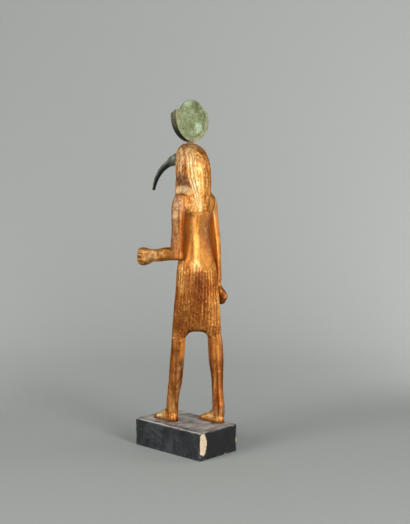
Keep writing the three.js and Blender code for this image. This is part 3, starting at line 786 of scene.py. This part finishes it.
def grain_size(place, across_mm, detail, roughness):
    """A noise's inputs. Its scale is worked out from the size of its patches in millimetres."""
    return {"Vector": place, "Scale": 1 / (across_mm * MM), "Detail": detail, "Roughness": roughness}


def share_of(tree, name, strength=1.0):
    """How much of a coat shows: the value that the modelling wrote on each vertex, times a strength."""
    on_vertices = add(tree, PAINTED, out="Fac", attribute_name=name)
    return add(tree, MATH, {0: on_vertices, 1: strength}, operation="MULTIPLY", use_clamp=True)


def lay(tree, ground, coats):
    """Lays coats over a ground colour, the lowest first. A coat is its share and its colour."""
    for share, colour in coats:
        ground = add(tree, MIX, {0: share, 6: ground, 7: colour}, out=2, data_type="RGBA")
    return ground


gilding, tree, shader = surface("gold leaf on gesso, worn")
place = add(tree, PLACE, out="Object")
patches = add(tree, NOISE, grain_size(place, 7.0, 5, 0.65))
speckle = add(tree, NOISE, grain_size(place, 1.7, 3, 0.75))
mottle = add(tree, NOISE, grain_size(place, 3.5, 4, 0.7))
broken_up = add(tree, RAMP, {"Fac": speckle}, stops=[(0.35, 0.35), (0.6, 1.0)])
bare_at = share_of(tree, "bare", broken_up)
ruddy_and_reflection_at = share_of(tree, "ruddy_and_reflection", 0.8)
gesso_at = share_of(tree, "gesso")
dirt_and_shade_at = share_of(tree, "grime_and_shade")
coarse_at = share_of(tree, "coarse")
print(gilding.name, "starts with", len(tree.nodes), "nodes")

# %% [markdown]
# Gold leaf on gesso. Gold is a metal, so its colour tints every reflection: that is the warm glow. The leaf
# is thin and old, so it turns from pale gold to a deep red brown where the clay below shows through. Over
# the tone of each place lie patches of seven millimetres, which are the leaf's own, and specks under two
# millimetres, which are wear. A gold texture could be wrapped on, but it wouldn't know where the cuts are.

# %% Gilding, colour
grain_range = {"Value": speckle, "From Min": 0.3, "From Max": 0.7, "To Min": -0.26, "To Max": 0.3}
grain = add(tree, RANGE, grain_range)
pale = add(tree, MATH, {0: patches, 1: 0.5, 2: -0.02}, operation="MULTIPLY_ADD")
pale = add(tree, MATH, {0: share_of(tree, "tone_and_light"), 1: 0.8, 2: pale}, operation="MULTIPLY_ADD")
pale = add(tree, MATH, {0: grain, 1: coarse_at, 2: pale}, operation="MULTIPLY_ADD", use_clamp=True)
LEAF_COLOURS = [(0.18, "#5E2A10"), (0.42, "#A05827"), (0.63, "#CC8B45"), (0.8, "#EEBD75"), (1.0, "#FBE2B0")]
leaf = add(tree, RAMP, {"Fac": pale}, stops=LEAF_COLOURS)
clay = add(tree, RAMP, {"Fac": mottle}, stops=[(0.32, "#4F3029"), (0.5, "#90654C"), (0.68, "#D8B48A")])
chalk = add(tree, RAMP, {"Fac": speckle}, stops=[(0.35, "#D9AE74"), (0.6, "#FBE3BA")])
# The last coat is dirt and painted shade, read from the darkened value on the vertices.
soil_and_shade = add(tree, RAMP, {"Fac": speckle}, stops=[(0.3, "#3A1C0C"), (0.8, "#74431C")])
# Coats over the leaf: redder leaf with painted reflection, clay, gesso with the painted highlight band, dirt
# with painted shade.
coats = [(ruddy_and_reflection_at, tint("#F0983A")), (bare_at, clay), (gesso_at, chalk), (dirt_and_shade_at, soil_and_shade)]
plug(shader, {"Base Color": lay(tree, leaf, coats)})
print(gilding.name, "has", len(coats), "coats over the leaf")

# %% [markdown]
# Clay and chalk aren't metal, so they turn most of the metal off; clay, dirt and painted shade make it
# rougher.
# Two bumps stand for relief that is too fine for the mesh: the gesso's grains, drawn a millimetre wide so
# that they show, and the lumps of two millimetres that its brush left, drawn out up and down.

# %% Gilding, shine
worn = add(tree, MATH, {0: bare_at, 1: gesso_at}, operation="MAXIMUM")
worn = add(tree, MATH, {0: worn, 1: ruddy_and_reflection_at}, operation="MAXIMUM")
metal = add(tree, RAMP, {"Fac": worn}, stops=[(0.0, 0.95), (0.7, 0.35), (1.0, 0.15)])
dull = add(tree, MATH, {0: bare_at, 1: dirt_and_shade_at}, operation="MAXIMUM")
dull = add(tree, MATH, {0: speckle, 1: 0.35, 2: dull}, operation="MULTIPLY_ADD", use_clamp=True)
rough = add(tree, RAMP, {"Fac": dull}, stops=[(0.0, 0.24), (0.35, 0.4), (1.0, 0.7)])
WARM_EDGE = "#DDA870"  # the leaf's gloss stays warm at its edges
plug(shader, {"Metallic": metal, "Roughness": rough, "Specular Tint": tint(WARM_EDGE)})

grains = add(tree, NOISE, grain_size(place, 1.0, 3, 0.7))
upright = add(tree, STRETCH, {"Vector": place, "Scale": (1, 1, 0.5)})
lumps = add(tree, NOISE, grain_size(upright, 2.2, 3, 0.65))
fine = add(tree, BUMP, {"Height": grains, "Strength": 1.0, "Distance": 0.3 * MM})
brushed = {"Height": lumps, "Strength": coarse_at, "Distance": 1.7 * MM, "Normal": fine}
plug(shader, {"Normal": add(tree, BUMP, brushed)})
figure.data.materials.append(gilding)
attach(figure, "root")
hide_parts("gilded_figure")
print(gilding.name, "has", len(tree.nodes), "nodes")

# %% [markdown]
# The bill is a separate bronze casting, set into the face. It is smooth, with shallow pits, and a crease on
# each side where the two halves of the beak meet. The crease follows the beak's own curve, so it is cut by
# each vertex's distance from a line of a few points, and it starts past the root.

# %% Bill
# Points along the crease, from the face to the tip.
CREASE_FORWARD = [14.6, 22, 28.6, 35.6, 42.6, 48.2, 52.3, 54.9]
CREASE_HEIGHT = [285.4, 283.1, 280.5, 276.8, 271.8, 265.5, 258.4, 250.3]

bill = even_skin("beak", "beak_cast", 0.3)
soften(bill, 12)
at = to_carving(vertex_values(bill, "co"))
normal = vertex_values(bill, "normal")
x, y, z = at.T
forward = -y
count = len(CREASE_FORWARD)
spread = np.linspace(0, count - 1, 240)
dense = np.stack([np.interp(spread, range(count), line) for line in (CREASE_FORWARD, CREASE_HEIGHT)], 1)
from_crease = np.sqrt(((at[:, None, 1:] * [-1, 1] - dense[None, :, :]) ** 2).sum(2)).min(1)
mouth = cut(from_crease, 0, 0.55) * step(abs(x), 0.8, 1.4) * step(forward, 28, 31)
pits = step(drift(at, 1.3, 21), 0.35, 0.8)
height = -0.28 * mouth - 0.12 * pits + 0.07 * drift(at, 3.5, 22)
move_points(bill, to_scene(at + normal * height[:, None]))
# On the bill the same value darkens the crease and the pits, as dark patina.
paint(bill, "grime_and_shade", np.maximum(mouth, 0.6 * pits))

# Painted shade: the underside below the crease is marked, to be painted nearly black.
above = z - np.interp(forward, CREASE_FORWARD, CREASE_HEIGHT)
above *= np.interp(forward, [14, 45, 55], [1, 0.8, 0.45])  # the beak gets thinner
below = step(above + 0.5 * drift(at, 3, 23), 0.5, -0.7)
paint(bill, "shade_below", below * (0.45 + 0.55 * step(forward, 24, 30)))
thin_out(bill, 60000)

# %% [markdown]
# Dark bronze. The metal has gone matt under a thin grey-green skin of corrosion, so it is mostly a rough
# non-metal with a little sheen. Below the crease it is painted nearly black, as painted shade on the
# underside. Its spots are five millimetres across. The casting's own grain is finer than the picture shows,
# so its bump is drawn almost a millimetre wide.

# %% Bill's bronze
dark_bronze, tree, shader = surface("bronze, dark grey-green patina")
place = add(tree, PLACE, out="Object")
mottle = add(tree, NOISE, grain_size(place, 5.0, 5, 0.65))
grains = add(tree, NOISE, grain_size(place, 0.8, 4, 0.7))
skin = add(tree, RAMP, {"Fac": mottle}, stops=[(0.3, "#3A3A2E"), (0.5, "#67695A"), (0.68, "#95967F")])
# The underside's painted shade, then dark patina in the crease and the pits.
coats = [(share_of(tree, "shade_below"), tint("#0E0D07")), (share_of(tree, "grime_and_shade", 0.8), tint("#23241E"))]
rough = add(tree, RAMP, {"Fac": mottle}, stops=[(0.3, 0.62), (0.7, 0.42)])
cast_grain = add(tree, BUMP, {"Height": grains, "Strength": 1.0, "Distance": 0.1 * MM})
plug(shader, {"Base Color": lay(tree, skin, coats), "Roughness": rough, "Normal": cast_grain})
plug(shader, {"Metallic": 0.1, "Specular IOR Level": 0.3})
bill.data.materials.append(dark_bronze)
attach(bill, "root")
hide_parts("beak")
print(dark_bronze.name, "has", len(tree.nodes), "nodes")

# %% [markdown]
# The disc and crescent are one green casting. Its faces are a little uneven and pitted by corrosion, and
# both are real relief, so they catch the light from every side. The modelling marks the rim, its lower
# part, which is painted dark as shade, the crescent's face and the line between crescent and disc, for the
# material to read.

# %% Disc and crescent
DISC_Z, DISC_Y, DISC_R = 326.55, 1.4, 20.55
FOOT_TOP = 303.6

disc = even_skin("lunar_disc", "lunar_disc_cast", 0.4)
soften(disc, 6)
at = to_carving(vertex_values(disc, "co"))
normal = vertex_values(disc, "normal")
x, y, z = at.T
from_middle = np.hypot(x, z - DISC_Z)
rim = np.maximum(step(abs(normal[:, 1]), 0.75, 0.4), step(z, FOOT_TOP - 0.2, FOOT_TOP - 1))
inner_edge = from_middle + 1.2 * drift(at, 5, 35)
crescent = step(abs(y - DISC_Y), 3.9, 4.2) * step(inner_edge, DISC_R - 2.6, DISC_R + 1)
seam = cut(from_middle, DISC_R - 1.9, 0.8) * (0.3 + 0.7 * step(-x, 0, 9)) * (z < DISC_Z + 9)
height = -0.14 * step(drift(at, 1.6, 31), 0.3, 0.8) + 0.12 * drift(at, 4.5, 32) + 0.05 * drift(at, 1.1, 33)
move_points(disc, to_scene(at + normal * height[:, None]))

green = 0.42 + 0.12 * drift(at, 8, 34) - 0.17 * spot(at, (-6, 4, 339), (10, 9, 7))
green += 0.3 * spot(at, (8, 4, 344), (10, 9, 6)) + 0.3 * spot(at, (-9, 4, 317), (9, 9, 8))
paint(disc, "green", green)
paint(disc, "crescent", crescent * (1 - rim))
paint(disc, "seam", seam * (1 - rim))
paint(disc, "rim", rim)
paint(disc, "shade", step(z + 2.5 * drift(at, 3.5, 36), 338, 310) * rim * (z > FOOT_TOP))
paint(disc, "foot", z < FOOT_TOP)
thin_out(disc, 120000)

# %% [markdown]
# Green bronze. Copper carbonates lie on the metal as a dry, matt crust, from mint through olive to beige,
# and the rim has kept a darker brown skin. Nothing in it shines, so it is rough and not metallic. The crust
# grows in blooms of about four millimetres with flecks of less than two, so two noises are added up.

# %% Disc's bronze
green_bronze, tree, shader = surface("bronze, mottled green patina")
place = add(tree, PLACE, out="Object")
mottle = add(tree, NOISE, grain_size(place, 4.0, 6, 0.7))
fleck = add(tree, NOISE, grain_size(place, 1.6, 3, 0.7))
grains = add(tree, NOISE, grain_size(place, 0.9, 4, 0.7))
both = add(tree, MATH, {0: mottle, 1: fleck}, operation="ADD")
bloom = add(tree, MATH, {0: both, 1: 0.9, 2: -0.84}, operation="MULTIPLY_ADD")
green_at = share_of(tree, "green")
bloom = add(tree, MATH, {0: green_at, 1: 0.8, 2: bloom}, operation="MULTIPLY_ADD", use_clamp=True)
CRUST_COLOURS = [(0.2, "#555B3C"), (0.4, "#7A835C"), (0.58, "#97A27B"), (0.8, "#B9D2B8")]
crust = add(tree, RAMP, {"Fac": bloom}, stops=CRUST_COLOURS)
half = add(tree, MATH, {0: both, 1: 0.5}, operation="MULTIPLY")
rim_skin = add(tree, RAMP, {"Fac": half}, stops=[(0.38, "#3A3826"), (0.5, "#65604A"), (0.62, "#8C7A66")])
# Painted shade: the rim's lower part turns nearly black.
rim_shade = add(tree, RAMP, {"Fac": fleck}, stops=[(0.4, "#0A0803"), (0.65, "#2C2A17")])
coats = [(share_of(tree, "shade"), rim_shade), (share_of(tree, "foot"), tint("#8A6A55"))]
rim_skin = lay(tree, rim_skin, coats)
beige = add(tree, RAMP, {"Fac": mottle}, stops=[(0.35, "#77724F"), (0.65, "#C2B591")])
coats = [
    (share_of(tree, "crescent", 0.4), beige),
    (share_of(tree, "seam", 0.45), tint("#5F6046")),
    (share_of(tree, "rim"), rim_skin),
]
crust = lay(tree, crust, coats)
rough = add(tree, RAMP, {"Fac": mottle}, stops=[(0.3, 0.6), (0.7, 0.85)])
pitted = add(tree, BUMP, {"Height": grains, "Strength": 1.0, "Distance": 0.15 * MM})
plug(shader, {"Base Color": crust, "Roughness": rough, "Normal": pitted, "Specular IOR Level": 0.25})
disc.data.materials.append(green_bronze)
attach(disc, "root")
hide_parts("lunar_disc")
print(green_bronze.name, "has", len(tree.nodes), "nodes")

# %% [markdown]
# The plinth is a plain block, painted black. Its edges are knocked and rubbed, a crack runs along one long
# edge of the top, and one corner has lost a long flake down to the pale wood. A Bevel would round all edges
# alike, so each vertex's distance from the edges is measured instead, and a drift knocks some places in.

# %% Plinth, edges
HALF_X, HALF_Y = 28.6, 49.35
FLAKE_MIDDLE, FLAKE_HALF = (4.0, 17.4), (5.7, 11.6)  # its oval: round the corner, and upwards

plinth = even_skin("plinth", "plinth_painted", 0.75)
soften(plinth, 2)
at = vertex_values(plinth, "co") / MM
normal = vertex_values(plinth, "normal")
x, y, z = at.T
from_side, from_end = HALF_X - abs(x), HALF_Y - abs(y)
inward = np.minimum(from_side, from_end)
from_top = SOLES_Z - z
side_edge = step(np.maximum(from_side, from_end), 3.0, 0.6) * step(inward, 2.5, 0.3)
top_edge = step(from_top, 2.2, 0.4) * step(inward, 2.2, 0.4)
foot_edge = 2.0 * step(z, 3.2, 0.3) * step(inward, 3.2, 0.4)
edges = np.clip(side_edge + top_edge + foot_edge, 0, 1.3)
knock = np.clip(drift(at, 5.5, 42) + 0.5 * drift(at, 2.2, 43) - 0.15, 0, 1)
right_corner = (-HALF_X, HALF_Y)  # at the picture's right, with one chip of its own and no knocks
knock *= 1 - spot(at, (*right_corner, 15), (8, 8, 20))
print("vertices on the plinth's edges:", int((edges > 0.5).sum()))

# %% [markdown]
# The flake's scoop is already in the CAD solid. Here its oval of bare wood is drawn round the corner, with a
# ragged outline, and kept clear of knocks. The crack and the knocks are then pushed in.

# %% Plinth, flake and crack
in_scoop = (x > 15) & (y > 35) & (from_top > 0.8) & (z > 0.8)
round_corner = np.where(from_side > from_end, from_side, -from_end)  # zero on the sharp edge
oval_across = (round_corner - FLAKE_MIDDLE[0]) / FLAKE_HALF[0]
oval_up = (z - FLAKE_MIDDLE[1]) / FLAKE_HALF[1]
flaked = in_scoop * step(np.hypot(oval_across, oval_up) + 0.08 * drift(at, 1.6, 41), 1.04, 0.96)
crack = cut(x + 0.35 * drift(at, 9, 44), HALF_X - 4.2, 1.7) * (from_top < 0.5)
crack *= step(drift(at * [0, 1, 0], 14, 45), -0.7, -0.2)
height = -1.3 * knock * edges * (1 - flaked) - 0.35 * crack + 0.06 * drift(at, 6, 46) * (from_top > 1)
height[z < 0.05] = 0  # the foot stays flat
move_points(plinth, (at + normal * height[:, None]) * MM)

# A pale line just inside the long top edge at +X: scuffed paint and a painted highlight on that edge.
scuffs_and_edge_light = cut(x, HALF_X - 0.6, 2.2) * step(from_top, 1.0, 0.4) * step(drift(at, 4, 49), -0.7, 0.3)
scuffs_and_edge_light += 0.5 * cut(x, HALF_X - 8.5, 1.8) * (from_top < 0.5) * step(drift(at, 7, 50), -0.3, 0.4)
chips = 0.9 * step(knock * edges, 0.45, 0.7) * step(drift(at, 4, 47), 0.1, 0.5)
rubbed = edges * step(drift(at, 3, 48), -0.4, 0.6) + step(knock * edges, 0.2, 0.5)
paint(plinth, "wood", flaked + chips + spot(at, (*right_corner, 13), (2.5, 2.5, 5)))
paint(plinth, "rubbed", rubbed * (1 - 0.8 * step(z, 4, 2)))
paint(plinth, "scuffed_and_lit", scuffs_and_edge_light)
# Upward faces, for dust and painted light from above.
paint(plinth, "top", step(normal[:, 2], 0.6, 0.9))
# Painted shade: the end behind the figure is darker than the lit long side.
paint(plinth, "shaded_end", 0.75 * step(normal[:, 1], 0.4, 0.8))  # the end behind the figure is darker
paint(plinth, "crack", crack)
thin_out(plinth, 90000)

# %% [markdown]
# Black paint on wood, brushed on and gone grey with handling, rough with a little gloss left. The top is a
# warm grey: a film of dust, and painted light where the top catches the light from above. The end behind
# the figure is painted darker as shade, rubbed edges are lighter, and a pale line along one top edge is
# scuffed paint and a painted highlight. The flake shows cream wood. Its upright fibres are finer than the
# picture shows, so they are drawn about a millimetre wide.

# %% Plinth's paint
black_paint, tree, shader = surface("black paint on wood, dusty")
place = add(tree, PLACE, out="Object")
upward = add(tree, STRETCH, {"Vector": place, "Scale": (1, 1, 0.15)})
sideways = add(tree, STRETCH, {"Vector": place, "Scale": (0.6, 0.6, 1)})
cloud = add(tree, NOISE, grain_size(place, 16.0, 4, 0.6))
streaks = add(tree, NOISE, grain_size(sideways, 5.0, 4, 0.65))
fibres = add(tree, NOISE, grain_size(upward, 1.2, 3, 0.6))
grains = add(tree, NOISE, grain_size(place, 1.2, 4, 0.65))
both = add(tree, MATH, {0: streaks, 1: cloud}, operation="ADD")
half = add(tree, MATH, {0: both, 1: 0.5}, operation="MULTIPLY")
coat = add(tree, RAMP, {"Fac": half}, stops=[(0.36, "#161617"), (0.5, "#252628"), (0.64, "#3D3E42")])
dust_and_top_light = add(tree, RAMP, {"Fac": cloud}, stops=[(0.35, "#55514E"), (0.5, "#918A84"), (0.66, "#BAB2AB")])
wood = add(tree, RAMP, {"Fac": fibres}, stops=[(0.35, "#C9AE8C"), (0.6, "#E3D3B6")])
# From the ground up: painted shade on the end, dust with painted top light, rubbed edges, scuffs with a
# painted edge highlight, the crack, bare wood.
coats = [
    (share_of(tree, "shaded_end"), tint("#0D0D0C")),
    (share_of(tree, "top"), dust_and_top_light),
    (share_of(tree, "rubbed", 0.45), tint("#8A857D")),
    (share_of(tree, "scuffed_and_lit", 0.6), tint("#CFCBC4")),
    (share_of(tree, "crack"), tint("#1E1C1A")),
    (share_of(tree, "wood"), wood),
]
coat = lay(tree, coat, coats)
rough = add(tree, RAMP, {"Fac": cloud}, stops=[(0.3, 0.5), (0.7, 0.72)])
brush_marks = add(tree, BUMP, {"Height": grains, "Strength": 1.0, "Distance": 0.12 * MM})
plug(shader, {"Base Color": coat, "Roughness": rough, "Normal": brush_marks, "Specular IOR Level": 0.3})
plinth.data.materials.append(black_paint)
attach(plinth, "root")
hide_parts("plinth")
print(black_paint.name, "has", len(tree.nodes), "nodes")
